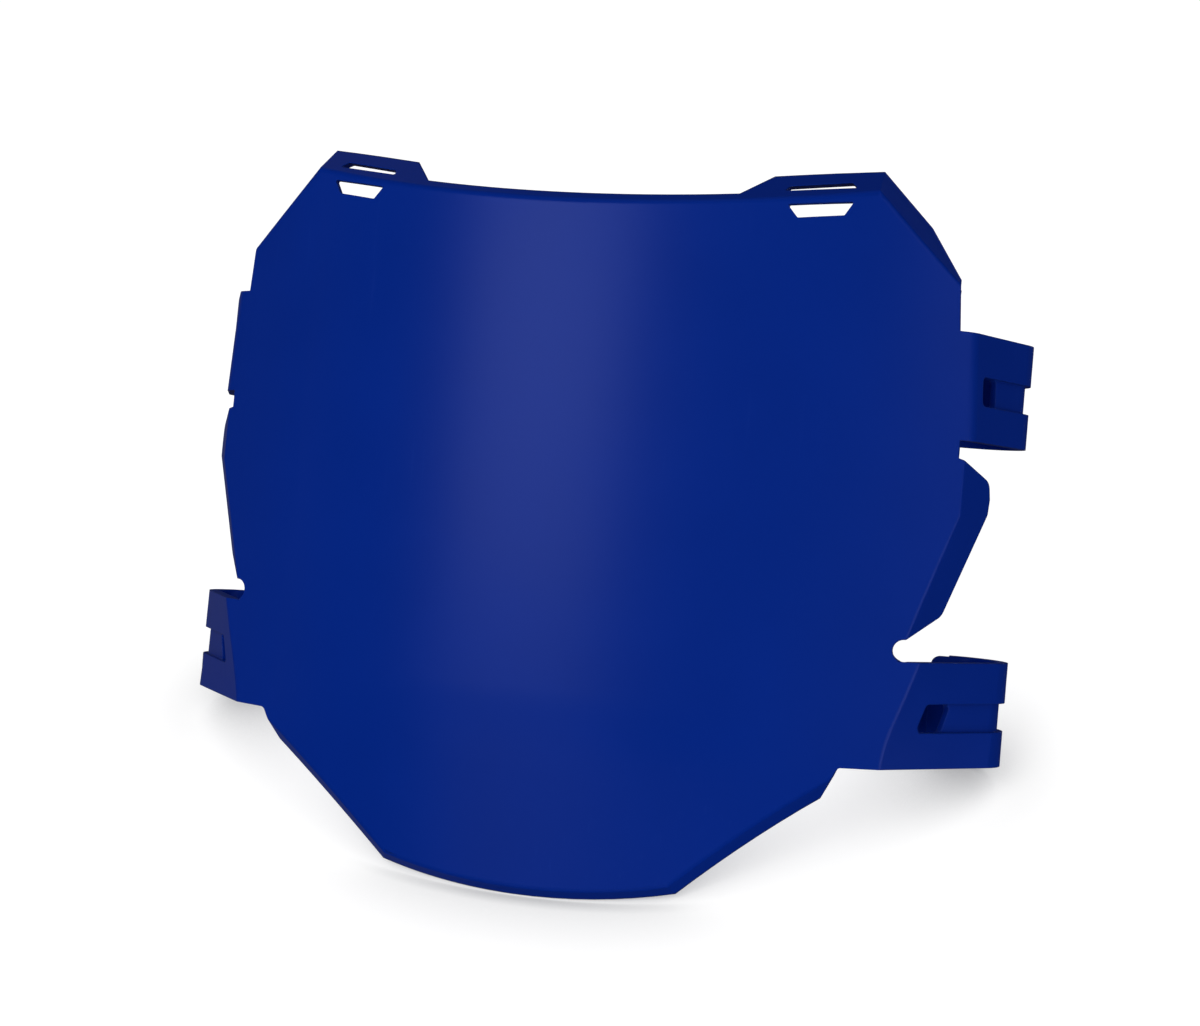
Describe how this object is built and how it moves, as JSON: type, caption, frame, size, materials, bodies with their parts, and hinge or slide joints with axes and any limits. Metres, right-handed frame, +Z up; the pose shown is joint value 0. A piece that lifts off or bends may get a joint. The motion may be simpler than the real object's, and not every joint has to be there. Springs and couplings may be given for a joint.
{
  "type": "racing number board",
  "caption": "Curved moulded number board with a folded rim and hook clips that seat on a pair of upright bars and are tied on with straps.",
  "frame": {"origin": "on the middle plane, half way between the number face and the backs of the hooks, level with the lowest point of the rim", "axes": "+X across the board to the right of a person facing it, +Y from the number face towards the bars, +Z up along the bars"},
  "size_m": [0.2634, 0.087, 0.222],
  "materials": {
    "blue_plastic": "satin moulded"
  },
  "bodies": {
    "root": {"number_board": "blue_plastic"}
  },
  "joints": []
}
